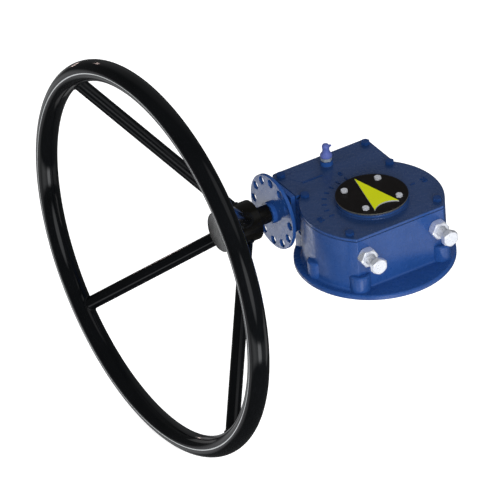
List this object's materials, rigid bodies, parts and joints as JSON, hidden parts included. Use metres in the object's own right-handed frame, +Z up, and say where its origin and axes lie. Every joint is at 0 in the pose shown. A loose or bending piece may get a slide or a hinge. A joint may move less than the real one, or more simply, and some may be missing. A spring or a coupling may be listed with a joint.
{
  "type": "worm gear valve operator",
  "caption": "Quarter-turn worm gear operator with a dished tube handwheel, round mounting base, drilled input flange, position pointer and travel stop bolts.",
  "frame": {"origin": "centre of the base flange's underside, on the output axis", "axes": "+Z up along the output axis, away from the valve; +Y from the flat front with the stop bolts towards the worm; the handwheel is on the -X side"},
  "size_m": [0.4761, 0.641, 0.641],
  "materials": {
    "blue_paint": "gloss blue enamel on cast iron",
    "black_paint": "gloss black enamel on steel",
    "zinc_plate": "bright zinc plate",
    "bright_steel": "ground steel",
    "dark_steel": "black oxide",
    "gear_iron": "machined ductile iron, oiled",
    "bronze": "turned bearing bronze",
    "seal_rubber": "matte",
    "gasket_sheet": "compressed fibre sheet",
    "black_plate": "satin black",
    "pointer_paint": "yellow enamel",
    "cap_plastic": "moulded soft plastic"
  },
  "bodies": {
    "gear_case": {"housing": "blue_paint", "base_bush": "bronze", "base_oring": "seal_rubber", "top_cover": "blue_paint", "cover_gasket": "gasket_sheet", "cover_bolts": "blue_paint", "cover_dowels": "bright_steel", "cover_oring": "seal_rubber", "input_flange": "blue_paint", "flange_gasket": "gasket_sheet", "flange_bolts": "dark_steel", "input_oil_seal": "seal_rubber", "near_outer_race": "bright_steel", "far_outer_race": "bright_steel", "grease_nipple": "zinc_plate", "lock_nuts": "zinc_plate"},
    "handwheel_and_worm": {"worm_shaft": "bright_steel", "worm": "bright_steel", "worm_spacers": "dark_steel", "near_inner_race": "bright_steel", "far_inner_race": "bright_steel", "near_balls": "bright_steel", "far_balls": "bright_steel", "handwheel_hub": "black_paint", "handwheel_spokes": "black_paint", "handwheel_rim": "black_paint", "handwheel_key": "bright_steel", "hub_set_screw": "dark_steel"},
    "output_quadrant": {"quadrant": "gear_iron", "drive_bush": "bright_steel", "drive_keys": "bright_steel", "indicator_plate": "black_plate", "pointer": "pointer_paint", "indicator_screws": "zinc_plate"},
    "left_stop": {"left_stop_bolt": "zinc_plate"},
    "right_stop": {"right_stop_bolt": "zinc_plate"},
    "grease_cap": {"nipple_cap": "cap_plastic"}
  },
  "joints": [
    {"name": "handwheel_turn", "type": "hinge", "parent": "gear_case", "child": "handwheel_and_worm", "pos_m": [0, 0.104, 0.071], "axis": [-1, 0, 0], "range_deg": [0, 3780]},
    {"name": "output_turn", "type": "hinge", "parent": "gear_case", "child": "output_quadrant", "pos_m": [0, 0, 0], "axis": [0, 0, 1], "range_deg": [0, 90]},
    {"name": "left_stop_adjust", "type": "slide", "parent": "gear_case", "child": "left_stop", "axis": [0, -1, 0], "range_m": [0, 0.008]},
    {"name": "right_stop_adjust", "type": "slide", "parent": "gear_case", "child": "right_stop", "axis": [0, -1, 0], "range_m": [0, 0.008]},
    {"name": "grease_cap_pull", "type": "slide", "parent": "gear_case", "child": "grease_cap", "axis": [0, 0, 1], "range_m": [0, 0.03]}
  ],
  "couplings": [
    {"joint": "output_turn", "follows": "handwheel_turn", "ratio": 0.02381}
  ]
}
